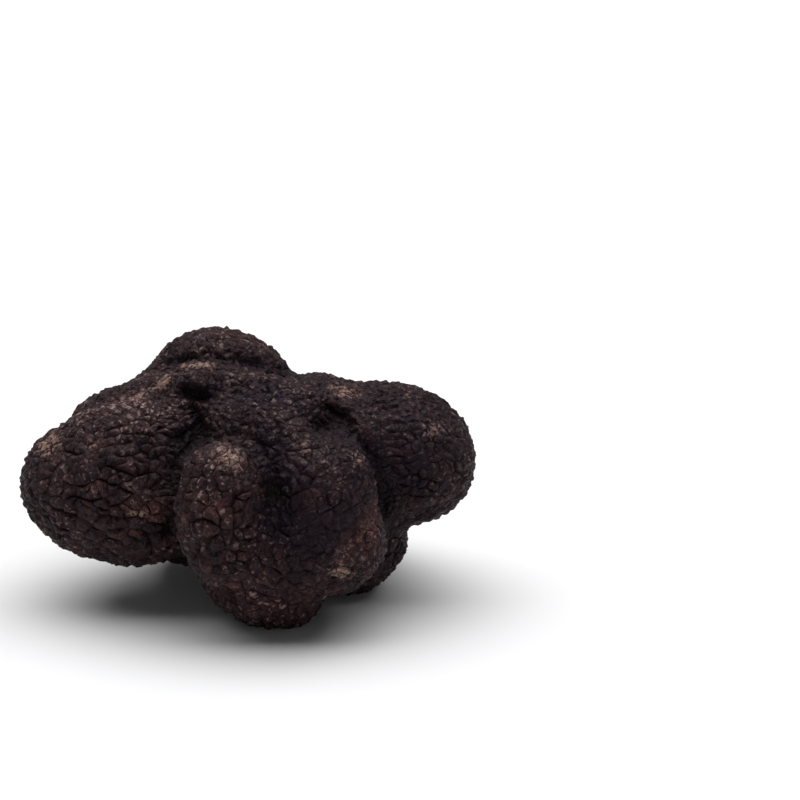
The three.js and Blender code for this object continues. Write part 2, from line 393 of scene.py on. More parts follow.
class Cells:
    """The borders between warts, found on the base skin."""

    def __init__(self, skin, space, seeds, labels):
        self.skin, self.space, self.seeds, self.labels = skin, space, seeds, labels
        around = labels[skin.triangles]
        distinct = (around != np.roll(around, -1, axis=1)).sum(axis=1)
        # A triangle whose three corners belong to three warts holds a corner of the borders.
        self.corner_triangles = np.nonzero(distinct == 3)[0]
        self.corner_of = {int(t): k for k, t in enumerate(self.corner_triangles)}
        self.owner = {}
        for t in np.nonzero(distinct > 0)[0]:
            a, b, c = (int(v) for v in skin.triangles[t])
            for i, j in ((a, b), (b, c), (c, a)):
                if labels[i] != labels[j]:
                    self.owner[(i, j)] = int(t)
        self.corners = np.array([self.corner_place(t) for t in self.corner_triangles])
        self.borders = []
        seen = set()
        for start, t in enumerate(self.corner_triangles):
            a, b, c = (int(v) for v in skin.triangles[t])
            for step in ((a, b), (b, c), (c, a)):
                if step not in seen:
                    self.borders.append(self.walk(start, step, seen))

    def off(self, vertex, label):
        """How far a point is from a seed, squared."""
        gap = self.space[vertex] - self.seeds[label]
        return float(gap @ gap)

    def crossing(self, i, j):
        """Where the border crosses the line from point i to point j."""
        a, b = self.labels[i], self.labels[j]
        near = self.off(i, b) - self.off(i, a)
        far = self.off(j, a) - self.off(j, b)
        share = near / max(near + far, TINY)
        return self.skin.points[i] * (1 - share) + self.skin.points[j] * share

    def corner_place(self, t):
        """Where the borders meet in a triangle."""
        vertices = [int(v) for v in self.skin.triangles[t]]
        names = [self.labels[v] for v in vertices]
        gaps = np.array([[self.off(v, n) for n in names] for v in vertices])
        # Find the weights that make the three distances equal, each taken as linear over the triangle.
        rows = np.array([gaps[:, 0] - gaps[:, 1], gaps[:, 0] - gaps[:, 2], np.ones(3)])
        try:
            weights = np.linalg.solve(rows, np.array([0.0, 0.0, 1.0]))
        except np.linalg.LinAlgError:
            weights = np.full(3, 1 / 3)
        weights = np.clip(weights, LEAST_WEIGHT, 1)
        return (weights / weights.sum()) @ self.skin.points[vertices]

    def walk(self, start, step, seen):
        """Follows a border to the next corner: (start, end, left wart, right wart, places between)."""
        i, j = step
        left, right = int(self.labels[j]), int(self.labels[i])
        places = []
        while True:
            seen.add((i, j))
            places.append(self.crossing(i, j))
            t = self.owner[(j, i)]
            if t in self.corner_of:
                seen.add((j, i))
                return start, self.corner_of[t], left, right, places
            k = int(sum(int(v) for v in self.skin.triangles[t]) - i - j)
            i, j = (i, k) if self.labels[k] == self.labels[j] else (k, j)

    def loops(self):
        """For each wart, its borders in order: (border, forwards)."""
        follow = {}
        for k, (start, end, left, right, _) in enumerate(self.borders):
            follow[(left, start)] = (k, True, end)
            follow[(right, end)] = (k, False, start)
        found, used = {}, set()
        for wart, corner in list(follow):
            if (wart, corner) in used:
                continue
            loop, at = [], corner
            while (wart, at) not in used:
                used.add((wart, at))
                border, forwards, after = follow[(wart, at)]
                loop.append((border, forwards))
                at = after
            found.setdefault(wart, []).append(loop)
        return found


def lay_out_warts(skin):
    """Places the warts and finds their borders. A wart that isn't one round cell is dropped."""
    space = wart_space(skin.points, skin.facing)
    seeds = place_seeds(skin, space, wart_width(skin.points, skin.bend))
    while True:
        labels = nearest_seeds(space, seeds)
        cells = Cells(skin, space, seeds, labels)
        loops = cells.loops()
        bad = [w for w in range(len(seeds)) if len(loops.get(w, ())) != 1]
        if not bad:
            return cells, [loops[w][0] for w in range(len(seeds))]
        seeds = np.delete(seeds, bad, axis=0)


# ---- the warts ----
SKIN_INSET = 0.12  # how far the warts' tops lie inside the CAD skin
BORDER_STEP = 0.72  # spacing of the points along a groove
GROOVE_DEPTH = 0.62
GROOVE_HALF_WIDTH = 0.1
CRACK_DEPTH = 0.45  # extra depth and half width of the long cracks
CRACK_HALF_WIDTH = 0.14
CRACK_REACH = 0.55  # how far beside its line a long crack opens the grooves
LINE_REACH = 3  # how many widths from a line it still counts
# Grooves also open into cracks in rows along the end lobes, and in a few places anywhere.
LOOSE_CRACKS = 0.7  # how strong those are, where a long crack is 1
CRACK_ROWS = ((-6, -14, 0.7), (17, 24, 0.5))  # x where the rows set in, x where they are full, strength
ROW_SHAPE = (0.3, 1, 1)  # makes the rows long in X
ROW_NOISE, ROW_RANGE = (5.0, 61), (0.2, 1.2)
ROW_HEADING = 1.5  # the higher, the more a groove has to run along X
ANYWHERE_CRACKS = 0.8
ANYWHERE_NOISE, ANYWHERE_RANGE = (6.5, 62), (1.0, 2.0)
# How far the grooves are open: a beta distribution over the borders, and a noise over it.
BORDER_OPENNESS = (0.8, 1.0)
OPENNESS_SPREAD, OPENNESS_NOISE = 0.22, (2.5, 67)
LEAST_OPENNESS = 0.05
# Shares at a closed groove, and how much an open one adds.
WIDTH_BY_OPENNESS = (0.55, 0.6)
DEPTH_BY_OPENNESS = (0.35, 0.75)
RISE_BY_OPENNESS = (0.45, 0.65)
# Where the grooves are more open, or less: centre, radii and change.
OPENER = (
    ((3, -17, 6), (11, 8, 5), 0.7),  # foot
    ((12.5, -18, 20.5), (7, 7, 8), -0.5),  # front right lobe
    ((26, -4, 27), (10, 8, 9), -0.25),  # right lobe
    ((-25, -8, 15), (10, 8, 6), -0.25),  # left lobe, below
    ((-22, -10, 22), (9, 8, 5), -0.12),  # left lobe
    ((3, -2, 33.5), (9, 6, 3), 0.35),  # crown
    ((13, -11, 28), (6, 5, 3), 0.25),  # top of the front right lobe
    ((-17, -3, 30), (10, 6, 4), 0.2),  # top of the left lobe
)
# The rings of a wart. Where they lie is a share of the way from its border to its middle.
MIDDLE_SPREAD = 0.1  # how far the middle is off the centre, as a share of the wart's radius
CORNER_WIDTH = 1.4  # how much wider a groove is where three of them meet
SHOULDER_RANGE = (0.08, 0.36)
RIM_WIDTH = 0.34  # from the shoulder to the rim, in mm
RIM_GAP = 0.14  # the least share between them
RIM_LIMIT = 0.66
INNER_SHARE = 0.52  # size of the inner ring, as a share of the rim's
LEAST_ACROSS = 0.35  # least way straight across from the border, as a share of the way in
# Heights, on a wart of full width. Other warts are lower or higher within the range of sizes.
FULL_WIDTH, SIZE_RANGE = 2.2, (0.6, 1.15)
LEVEL_RANGE = (-0.12, 0.05)  # of a whole wart
RELIEF_RANGE = (-0.02, 0.2)  # of its middle over its rim
LEAN_SPREAD = 0.05
ROUGHNESS = ((0.035, 1.1, 65), (0.02, 0.6, 66))  # strength, wavelength and seed
# A point is in a groove or on one of a wart's rings. For each of these:
GROOVE, SHOULDER, RIM, INNER, APEX = range(5)
RING_RISE = np.array([0, -0.34, -0.13, 0, 0])  # its height
RING_DROP = np.array([0, 0.07, 0.10, 0.04, 0])  # how much lower it is on a side that drops
RING_RELIEF = np.array([0, 0, 0, 0.65, 0.85])  # its share of the wart's relief
RING_CRUMPLE = np.array([0, 0.03, 0.05, 0.06, 0.03])  # how far its points are scattered up and down
RING_TOP = np.array([0, 0.5, 0.85, 1, 1])  # how much it counts as the top of the wart
CLOSED_GROOVE_TOP, OPENING_FADE = 0.5, 1.5  # the same for a closed groove, and how fast opening ends it
# Near the surface that the truffle lies on, skin that faces down is pressed flat.
PRESSED_HEIGHTS = (0.9, 0.2)  # where that sets in, and where it is full
PRESSED_FACINGS = (-0.5, -0.95)
PRESSED_BY = 0.2


def resample(line):
    """Evenly spaced places between the ends of a border."""
    line = np.asarray(line)
    along = lengths_along(line)
    count = max(1, round(along[-1] / BORDER_STEP))
    return places_at(line, along, np.linspace(0, along[-1], count + 1)[1:-1])


def near_lines(places, lines, width):
    """1 on the lines, and less away from them."""
    nearest = np.full(len(places), np.inf)
    for line in lines:
        middle = np.mean(line, axis=0)
        reach = np.linalg.norm(line - middle, axis=1).max() + LINE_REACH * width
        close = np.nonzero(np.linalg.norm(places - middle, axis=1) < reach)[0]
        for start, end in zip(line, line[1:]):
            along = np.subtract(end, start)
            share = np.clip((places[close] - start) @ along / (along @ along), 0, 1)
            gap = places[close] - start - share[:, None] * along
            nearest[close] = np.minimum(nearest[close], (gap * gap).sum(axis=1))
    return np.exp(-nearest / width**2)


def crease_depth(skin, places):
    """How deep the creases between the lobes are cut at each place."""
    cuts = [depth * near_lines(places, laid(skin, (line,)), width) for line, width, depth in CREASES]
    return np.max(cuts, axis=0)


def crack_strength(skin, places, headings):
    """How much of a crack a place on a groove is, from 0 to 1."""
    known = near_lines(places, laid(skin, LEFT_CRACKS + KNOB_CRACKS), CRACK_REACH)
    ends = sum(strength * smoothstep(start, full, places[:, 0]) for start, full, strength in CRACK_ROWS)
    lengthwise = np.abs(headings[:, 0]) ** ROW_HEADING
    rows = ends * lengthwise * smoothstep(*ROW_RANGE, noise(places * ROW_SHAPE, *ROW_NOISE))
    anywhere = ANYWHERE_CRACKS * smoothstep(*ANYWHERE_RANGE, noise(places, *ANYWHERE_NOISE))
    return np.maximum(known, np.maximum(rows, anywhere) * LOOSE_CRACKS)


def by_openness(shares, opened):
    """A share that grows as a groove opens."""
    closed, gain = shares
    return closed + gain * opened


class WartMesh:
    """Builds every wart as rings of points inside its border, which its neighbours share."""

    def __init__(self, skin, cells, loops):
        self.skin, self.cells, self.loops = skin, cells, loops
        self.faces = []
        self.lay_borders()
        self.build_warts()
        self.raise_points()

    def lay_borders(self):
        """The groove points: first the corners, then the points along each border."""
        rng = np.random.default_rng(GROOVE_SEED)
        corners = self.cells.corners
        count = len(corners)
        places, headings, openness = [corners], [np.zeros_like(corners)], [np.zeros(count)]
        self.border_points = []
        for start, end, _, _, between in self.cells.borders:
            inside = resample([corners[start], *between, corners[end]])
            along = unit(np.gradient(np.concatenate([[corners[start]], inside, [corners[end]]]), axis=0))
            here = rng.beta(*BORDER_OPENNESS)
            places.append(inside)
            headings.append(along[1:-1])
            openness.append(np.full(len(inside), here))
            # Three borders meet at a corner, and each gives it a third.
            for corner, heading in ((start, along[0]), (end, along[-1])):
                headings[0][corner] += np.abs(heading) / 3
                openness[0][corner] += here / 3
            self.border_points.append(list(range(count, count + len(inside))))
            count += len(inside)
        self.grooves = np.concatenate(places)
        self.crack = crack_strength(self.skin, self.grooves, np.concatenate(headings))
        # Neighbours that never parted have hardly any groove between them.
        self.open = np.concatenate(openness) + OPENNESS_SPREAD * noise(self.grooves, *OPENNESS_NOISE)
        self.open += blobs(self.grooves, OPENER)
        self.open = np.maximum(np.clip(self.open, LEAST_OPENNESS, 1), self.crack)
        self.half_width = GROOVE_HALF_WIDTH * by_openness(WIDTH_BY_OPENNESS, self.open)
        self.half_width += CRACK_HALF_WIDTH * self.crack

    def loop_points(self, loop):
        """The groove points around a wart, in order, and which of its sides each begins or lies on."""
        points, sides = [], []
        for side, (border, forwards) in enumerate(loop):
            start, end = self.cells.borders[border][:2]
            between = self.border_points[border]
            part = [start, *between] if forwards else [end, *reversed(between)]
            points += part
            sides += [side] * len(part)
        return np.array(points), np.array(sides)

    def build_warts(self):
        """The points and faces of every wart, still on the base skin."""
        rng = np.random.default_rng(MIDDLE_SEED)
        self.places = [self.grooves]
        self.kind = [np.full(len(self.grooves), GROOVE)]
        self.wart = [np.full(len(self.grooves), -1)]
        self.side_drop = [np.zeros(len(self.grooves))]
        self.side_open = [self.open]
        self.middles = []
        first = len(self.grooves)
        for wart, loop in enumerate(self.loops):
            ids, sides = self.loop_points(loop)
            ring = self.grooves[ids]
            centre = ring.mean(axis=0)
            reach = np.linalg.norm(ring - centre, axis=1).mean()
            middle = centre + rng.normal(size=3) * MIDDLE_SPREAD * reach
            self.middles.append(middle)
            shoulder, rim = self.inset(ids, ring, middle)
            inner = middle + (rim[::2] - middle) * INNER_SHARE
            # Each side of a wart drops by its own amount.
            drop = rng.uniform(0, 1, len(loop))[sides]
            drop = (np.roll(drop, 1) + drop) / 2
            opened = self.open[ids]
            n, m = len(ids), len(inner)
            self.places.append(np.concatenate([shoulder, rim, inner, [middle]]))
            self.kind.append(np.repeat([SHOULDER, RIM, INNER, APEX], [n, n, m, 1]))
            self.wart.append(np.full(2 * n + m + 1, wart))
            self.side_drop.append(np.concatenate([drop, drop, drop[::2], [0]]))
            self.side_open.append(np.concatenate([opened, opened, opened[::2], [1]]))
            first = self.join_wart(ids, first, n, m)

    def inset(self, ids, ring, middle):
        """The shoulder and the rim of a wart, at their distances inside its border."""
        ahead, behind = np.roll(ring, -1, axis=0), np.roll(ring, 1, axis=0)
        along = unit(ahead - behind)
        reach = ring - middle
        off = reach - (reach * along).sum(axis=1)[:, None] * along
        across = np.maximum(np.linalg.norm(off, axis=1), LEAST_ACROSS * np.linalg.norm(reach, axis=1))
        half_width = self.half_width[ids] * np.where(ids < len(self.cells.corners), CORNER_WIDTH, 1.0)
        shoulder = np.clip(half_width / across, *SHOULDER_RANGE)
        rim = np.clip((half_width + RIM_WIDTH) / across, shoulder + RIM_GAP, RIM_LIMIT)
        shoulder, rim = (
            (np.roll(share, 1) + 2 * share + np.roll(share, -1)) / 4 for share in (shoulder, rim)
        )
        return ring - reach * shoulder[:, None], ring - reach * rim[:, None]

    def join_wart(self, ids, first, n, m):
        """The faces of a wart whose points start at first. Returns where the next wart's start."""
        shoulder = np.arange(first, first + n)
        rim = shoulder + n
        inner = np.arange(first + 2 * n, first + 2 * n + m)
        apex = first + 2 * n + m
        self.join_rings(ids, shoulder)
        self.join_rings(shoulder, rim)
        self.join_half_ring(rim, inner)
        self.faces += [(inner[k], inner[(k + 1) % m], apex) for k in range(m)]
        return apex + 1

    def join_rings(self, outer, inner):
        n = len(outer)
        for k in range(n):
            after = (k + 1) % n
            self.faces.append((outer[k], outer[after], inner[after], inner[k]))

    def join_half_ring(self, outer, inner):
        """Joins a ring to one with half as many points."""
        n, m = len(outer), len(inner)
        for k in range(m):
            a, b, c = (outer[(2 * k + step) % n] for step in range(3))
            here, after = inner[k], inner[(k + 1) % m]
            if 2 * k + 1 == n:
                # The last step around a ring with an odd number of points.
                self.faces.append((a, b, after, here))
            else:
                self.faces += [(a, b, here), (b, after, here), (b, c, after)]

    def raise_points(self):
        """Sets every point's height over the base skin."""
        rng = np.random.default_rng(HEIGHT_SEED)
        places = np.concatenate(self.places)
        kind, self.warts = np.concatenate(self.kind), np.concatenate(self.wart)
        drop, opened = np.concatenate(self.side_drop), np.concatenate(self.side_open)
        self.base, self.normals, _, self.bend = self.skin.nearest(places)
        count = len(self.loops)
        level = rng.uniform(*LEVEL_RANGE, count)[self.warts]
        relief = rng.uniform(*RELIEF_RANGE, count)[self.warts]
        lean = (rng.normal(size=(count, 3)) * LEAN_SPREAD)[self.warts]
        crumple = rng.normal(size=len(places)) * RING_CRUMPLE[kind]
        tilt = ((self.base - np.array(self.middles)[self.warts]) * lean).sum(axis=1)
        size = np.clip(wart_width(self.base, self.bend) / FULL_WIDTH, *SIZE_RANGE)
        rise = RING_RISE[kind] * by_openness(RISE_BY_OPENNESS, opened) - RING_DROP[kind] * drop
        height = (rise + level + relief * RING_RELIEF[kind] + crumple) * size + tilt
        groove = kind == GROOVE
        depth = GROOVE_DEPTH * size * by_openness(DEPTH_BY_OPENNESS, opened)
        height[groove] = -(depth[groove] + CRACK_DEPTH * self.crack)
        self.cut = crease_depth(self.skin, self.base)
        height += noises(places, ROUGHNESS)
        height -= self.cut
        self.points = self.base + self.normals * (height - SKIN_INSET)[:, None]
        # 0 in an open groove, 1 on the warts' tops.
        in_groove = CLOSED_GROOVE_TOP * (1 - opened) ** OPENING_FADE
        self.rise = np.where(groove, in_groove, RING_TOP[kind])


def settled(points, base, normals):
    """The points with the warts under the truffle pressed flat against the surface that it lies on."""
    down = smoothstep(*PRESSED_HEIGHTS, base[:, 2]) * smoothstep(*PRESSED_FACINGS, normals[:, 2])
    z = points[:, 2] - (SKIN_INSET + PRESSED_BY) * down
    return np.column_stack([points[:, :2], np.maximum(z, 0)])


skin_points, skin_triangles = read_skin(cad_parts["truffle"].data)
for _ in range(BASE_LEVELS):
    skin_points, skin_triangles = subdivide(skin_points, skin_triangles)
skin = Skin(skin_points, skin_triangles)
cells, loops = lay_out_warts(skin)
warts = WartMesh(skin, cells, loops)
low, high = (np.array(corner) * MM for corner in cad_box)
points = np.clip(settled(warts.points, warts.base, warts.normals), low, high)

mesh = bpy.data.meshes.new("truffle_skin")
mesh.from_pydata((points / MM).tolist(), [], [tuple(int(i) for i in f) for f in warts.faces])
mesh.update()
mesh.polygons.foreach_set("use_smooth", [True] * len(mesh.polygons))


def placed(name, data):
    """A new object in the scene."""
    made = bpy.data.objects.new(name, data)
    bpy.context.scene.collection.objects.link(made)
    return made


truffle = placed("truffle_warts", mesh)

# ---- what the material reads ----
# Where the skin is rusty, and where it is tan, partly rubbed-down tan and partly painted highlights:
# centre, radii and strength.
RUST_PATCHES = (
    ((-14.2, -13.2, 19.3), (3.6, 2.5, 1.6), 0.9),  # left lobe, beside the knob
    ((-3.4, -21.1, 23.2), (3.2, 3, 2.6), 0.5),  # front knob
    ((-22, -8.1, 28.1), (1.2, 1.2, 1), 0.35),
    ((-7, -2.1, 32.4), (0.9, 1, 0.7), 1),  # in the pit under the bridge
    ((1.6, 14.4, 36.3), (1.6, 2, 1.2), 0.8),  # rear crown
    ((19, -17.1, 17.3), (1.6, 2.2, 2.6), 0.7),  # front right lobe
    ((19.3, -4.2, 26.8), (2.2, 1.5, 1), 0.7),
    ((4, 22, 12), (5, 4, 4), 0.5),  # rear
    ((22, 18, 26), (4, 4, 3), 0.5),
    ((5, -18, 7), (8, 4, 5), 0.3),  # foot
)
TAN_AND_HIGHLIGHT_PATCHES = (
    ((-30.1, -3.1, 26.2), (3.2, 3, 1.8), 1),  # left tip
    ((-22.4, -7.9, 27.9), (1.3, 1.2, 0.8), 0.5),  # left lobe
    ((-15, -13.2, 19), (2, 1.6, 0.8), 0.75),  # left lobe, beside the knob
    ((-7.3, 3.4, 36.8), (3.2, 1.3, 0.8), 1),  # bridge
    ((-12.2, 3, 34.4), (3.2, 2.4, 1), 0.9),  # top of the left lobe
    ((-2.5, 3, 34.7), (1.8, 1.4, 0.8), 0.4),
    ((-1, -17.4, 29.9), (2.8, 2.8, 1.8), 0.8),  # top of the front knob
    ((17.6, -13.4, 28.2), (1.8, 2, 1.5), 0.5),
    ((9, -12.6, 28.6), (1.8, 2.6, 2.4), 0.4),
    ((12.5, -12.4, 29.2), (3, 2.4, 1.4), 0.2),
    ((14.7, -20, 12.5), (2.4, 2, 1.4), 0.9),  # under the front right lobe
    ((14.6, 0.4, 33.4), (2.2, 2.5, 1.6), 0.8),  # ridge over the right pit
    ((27.7, -4.5, 29.3), (2, 2.2, 1.8), 0.55),  # right lobe
    ((-16, 14, 27), (4, 4, 3), 0.5),  # rear left
    ((30, 12, 22), (3, 4, 3), 0.6),  # rear right
)
# Where painted shade makes it darker and bluer, and where painted light makes it paler.
PAINTED_SHADE_PATCHES = (
    ((10.5, -19, 18.5), (6.5, 5, 6.5), 0.7),  # front right lobe
    ((25.5, -3, 30.5), (9, 7, 5), 0.5),  # right lobe
    ((12.5, -12.5, 27.3), (7, 5, 4), 0.65),  # top of the front right lobe
    ((3, -2, 33.5), (10, 7, 3), 0.8),  # crown
    ((-7.2, 0.6, 34.9), (2.6, 1.2, 0.8), 0.4),  # under the bridge
    ((-8.2, -5.2, 28.4), (2.4, 2.8, 2.4), 0.9),  # behind the knob
    ((24.5, -8.5, 21.5), (7, 4, 5.5), 0.5),  # right lobe, under its belly
    ((-7.6, -1.4, 33.4), (2, 1.6, 0.8), 0.7),  # in the pit under the bridge
)
PAINTED_LIGHT_PATCHES = (
    ((-17.5, -1.6, 31), (9, 5, 3), 0.7),  # top of the left lobe
    ((-2, -16.3, 30), (4.5, 4, 2.6), 0.45),  # top and left of the knob
    ((-6.1, -19.7, 25.5), (2.6, 3, 3.4), 0.4),
    ((-4, 10.5, 37.8), (8, 5, 2.4), 0.35),  # rear crown
    ((3, -17, 7), (9, 5, 5), 0.2),  # foot
    ((3, -2, 34), (9, 6, 2.5), 0.3),  # crown
)
# Streaks of painted shade, rust, and tan with painted highlights, each as a few places it runs through,
# its width and strength.
PAINTED_SHADE_STREAKS = (
    (((-11.5, 10, 35.5), (-9, 8, 36.5), (-7, 7.5, 36.5), (-3.5, 7, 36.5), (-0.5, 8, 35.5), (2, 9.5, 34.5),
      (5.5, 11.5, 33)), 1.2, 0.6),  # behind the bridge
    (((3.5, -11, 30.5), (4, -12.5, 29), (4.5, -14, 27), (5, -15, 25), (5.5, -16.5, 21), (5.5, -17.5, 19)),
     2.6, 0.55),  # between the knob and the front right lobe
    (((19, -9, 27.5), (19.5, -9.5, 24.5), (20.5, -10, 20.5), (21, -9.5, 17.5)), 2.2, 0.5),
)
REDDISH_RIDGE = ((20, -13, 20.5), (20, -14, 19.5), (18, -17.5, 18), (16.5, -18.5, 17), (14.5, -20.5, 14.5))
RUST_STREAKS = ((REDDISH_RIDGE, 1.1, 0.6),)
TAN_AND_HIGHLIGHT_STREAKS = (
    (((-18.5, 2, 32), (-16, 2.5, 33), (-14, 3, 34.5)), 1.2, 0.6),
    (REDDISH_RIDGE, 0.8, 0.3),
    (((-18, 10.5, 31.5), (-15.5, 9.5, 33), (-13, 9, 33.5)), 0.8, 0.5),
)
PATCH_GAIN = 1.3
# The creases are painted shade, set in by how much the skin bends and by how deep it is cut.
CREASE_SHADE_BY_BEND = (0.1, 0.6)  # how much the skin bends where a crease sets in, and where it is full
CREASE_SHADE_BY_CUT = (0.1, 1.2)  # the same for how deep it is cut


def patched(places, patches, streaks=()):
    """How much each place is in the patches and on the streaks, from 0 to 1."""
    total = blobs(places, patches)
    for line, width, strength in streaks:
        total += strength * near_lines(places, laid(skin, (line,)), width)
    return np.clip(total * PATCH_GAIN, 0, 1)


def store(name, values):
    """Gives the mesh an attribute with a value for each point."""
    attribute = mesh.attributes.new(name, "FLOAT", "POINT")
    attribute.data.foreach_set("value", np.asarray(values, np.float32))


# Two random values for each wart. The last row is for the points of the grooves, which belong to no wart.
tint = np.random.default_rng(TINT_SEED).uniform(0, 1, (len(loops) + 1, 2))
tint[-1] = 0.5
store("rise", warts.rise)
store("tint_a", tint[warts.warts, 0])
store("tint_b", tint[warts.warts, 1])
# Painted shade in the creases.
store("crease", np.maximum(smoothstep(*CREASE_SHADE_BY_BEND, warts.bend), smoothstep(*CREASE_SHADE_BY_CUT, warts.cut)))
# Painted shade and painted light, over whole regions and along streaks.
store("shade", patched(warts.base, PAINTED_SHADE_PATCHES, PAINTED_SHADE_STREAKS))
store("light", patched(warts.base, PAINTED_LIGHT_PATCHES))
store("rust", patched(warts.base, RUST_PATCHES, RUST_STREAKS))
# Tan, partly rubbed-down tan and partly painted highlights.
store("tan", patched(warts.base, TAN_AND_HIGHLIGHT_PATCHES, TAN_AND_HIGHLIGHT_STREAKS))

# ---- the material ----
BLACK_BROWN = (0.0054, 0.0030, 0.0060, 1)
WARM_BROWN = (0.0370, 0.0172, 0.0178, 1)
STONE_GREY = (0.0180, 0.0128, 0.0160, 1)
RUST = (0.0880, 0.0310, 0.0260, 1)
# Tan and pale wear are each partly painted highlights.
TAN_AND_HIGHLIGHT = (0.2700, 0.1720, 0.1380, 1)
PALE_WEAR_AND_HIGHLIGHT = (0.2600, 0.1800, 0.1650, 1)
# Painted shade, and the near-black of grooves and creases: their own dark colour and painted shade.
PAINTED_SHADE_BLUE = (0.0044, 0.0022, 0.0070, 1)
GROOVE_AND_SHADE_BLACK = (0.0020, 0.0015, 0.0028, 1)
SPECULAR_TINT = (1.0, 0.74, 0.76, 1)
SPECULAR_LEVEL = 0.18
# Sizes of the grain, in mm.
BROAD = 6.0
GRAIN = 1.0
FLECKS = 0.75
FINE_SPECKLE, COARSE_SPECKLE = 0.42, 0.9
SPLIT_PIECES = 0.95
SPLIT_BENDS = 10 / 9
SPLIT_GAPS = 2.2
CRUMBS = 0.6
FOLDS = 1.2
BUMP_DEPTH = 0.32


def node(tree, kind, inputs=None, **settings):
    """A new node, with its inputs set or linked."""
    made = tree.nodes.new(kind)
    for name, value in settings.items():
        setattr(made, name, value)
    for name, value in (inputs or {}).items():
        if isinstance(value, bpy.types.NodeSocket):
            tree.links.new(value, made.inputs[name])
        else:
            made.inputs[name].default_value = value
    return made


def ramp(tree, value, low, high, to_low, to_high):
    """A smooth step of a value from one range to another."""
    inputs = {"Value": value, "From Min": low, "From Max": high, "To Min": to_low, "To Max": to_high}
    return node(tree, "ShaderNodeMapRange", inputs, interpolation_type="SMOOTHSTEP").outputs["Result"]


class Recipe:
    """Short names for the nodes that the material is made of."""

    def __init__(self, tree):
        self.tree = tree
        place = node(tree, "ShaderNodeTexCoord").outputs["Object"]
        scaled = node(tree, "ShaderNodeVectorMath", {0: place, 3: MM}, operation="SCALE")
        self.place = scaled.outputs[0]

    def attribute(self, name):
        return node(self.tree, "ShaderNodeAttribute", attribute_name=name).outputs["Fac"]

    def texture(self, size, detail, rough):
        inputs = {"Vector": self.place, "Scale": 1 / size, "Detail": detail, "Roughness": rough}
        return node(self.tree, "ShaderNodeTexNoise", inputs).outputs

    def noise(self, size, detail=2.0, rough=0.55):
        """A noise from 0 to 1."""
        return self.texture(size, detail, rough)["Fac"]

    def splits(self):
        """Fine branching splits: 0 in a split and 1 elsewhere."""
        bends = self.texture(SPLIT_BENDS, 2.0, 0.5)["Color"]
        bent = node(self.tree, "ShaderNodeVectorMath", {0: bends, 1: self.place}, operation="ADD")
        inputs = {"Vector": bent.outputs[0], "Scale": 1 / SPLIT_PIECES}
        pieces = node(self.tree, "ShaderNodeTexVoronoi", inputs, feature="DISTANCE_TO_EDGE")
        lines = self.ramp(pieces.outputs["Distance"], 0.01, 0.13)
        return self.math("MAXIMUM", lines, self.ramp(self.noise(SPLIT_GAPS), 0.42, 0.6))

    def crumbs(self):
        """Little rounded lumps, 0 between them and 1 on their tops."""
        inputs = {"Vector": self.place, "Scale": 1 / CRUMBS}
        lumps = node(self.tree, "ShaderNodeTexVoronoi", inputs, feature="SMOOTH_F1")
        return self.ramp(lumps.outputs["Distance"], 0.0, 0.75, 1.0, 0.0)

    def ramp(self, value, low, high, to_low=0.0, to_high=1.0):
        """A smooth step, from 0 to 1 unless other values are given."""
        return ramp(self.tree, value, low, high, to_low, to_high)

    def math(self, operation, *values):
        return node(self.tree, "ShaderNodeMath", dict(enumerate(values)), operation=operation).outputs[0]

    def product(self, first, *others):
        for other in others:
            first = self.math("MULTIPLY", first, other)
        return first

    def total(self, *parts):
        """A sum of values, each times its share."""
        found = 0.0
        for value, share in parts:
            found = self.math("MULTIPLY_ADD", value, share, found)
        return found

    def mix(self, share, first, second):
        made = node(self.tree, "ShaderNodeMix", {0: share, 6: first, 7: second}, data_type="RGBA")
        return made.outputs[2]


def wart_browns(r, broad, grain):
    """Each wart's own brown, mottled by the grain and warmed by painted light. Some are greyer, and a few
    are rusty.
    """
    tint_a, tint_b = r.attribute("tint_a"), r.attribute("tint_b")
    mottle, light = r.ramp(grain, 0.38, 0.64), r.attribute("light")
    warm = r.ramp(r.total((tint_a, 0.35), (broad, 0.7), (mottle, 0.6), (light, 0.45)), 0.35, 1.35)
    grey = r.ramp(tint_b, 0.0, 0.45, 0.45, 0.0)
    rusty_warts = r.ramp(tint_b, 0.86, 0.99, 0.0, 0.45)
    rusty_grain = r.ramp(grain, 0.3, 0.65)
    rusty = r.product(r.math("ADD", rusty_warts, r.attribute("rust")), rusty_grain)
    colour = r.mix(warm, BLACK_BROWN, WARM_BROWN)
    return r.mix(rusty, r.mix(grey, colour, STONE_GREY), RUST)


def pale_wear_and_highlights(r, broad, rise, shade):
    """How far the warts' tops are pale, in clusters of flecks: rubbed wear and painted highlights, more
    under painted light.
    """
    light = r.attribute("light")
    tops = r.ramp(rise, 0.3, 0.75)
    flecks = r.ramp(r.total((light, 0.05), (r.noise(FLECKS, 2.0, 0.6), 1.0)), 0.54, 0.69)
    clusters = r.ramp(r.total((light, 0.2), (broad, 1.0)), 0.42, 0.64, 0.08, 1.0)
    more_in_light = r.math("MULTIPLY_ADD", light, 1.1, 0.6)
    less_in_shade = r.math("MULTIPLY_ADD", shade, -0.5, 1.0)
    return r.product(tops, flecks, clusters, more_in_light, less_in_shade)


def tan_wear_and_highlights(r, rise):
    """How far the warts' tops are tan, in speckles: partly rubbed-down tan, partly painted highlights."""
    tan = r.attribute("tan")
    tops = r.ramp(rise, 0.2, 0.7)
    fine, coarse = r.noise(FINE_SPECKLE, 1.0), r.noise(COARSE_SPECKLE, 2.0, 0.6)
    speckle = r.ramp(r.total((fine, 0.5), (coarse, 0.5), (tan, 0.14)), 0.53, 0.65)
    return r.product(speckle, tan, tops)


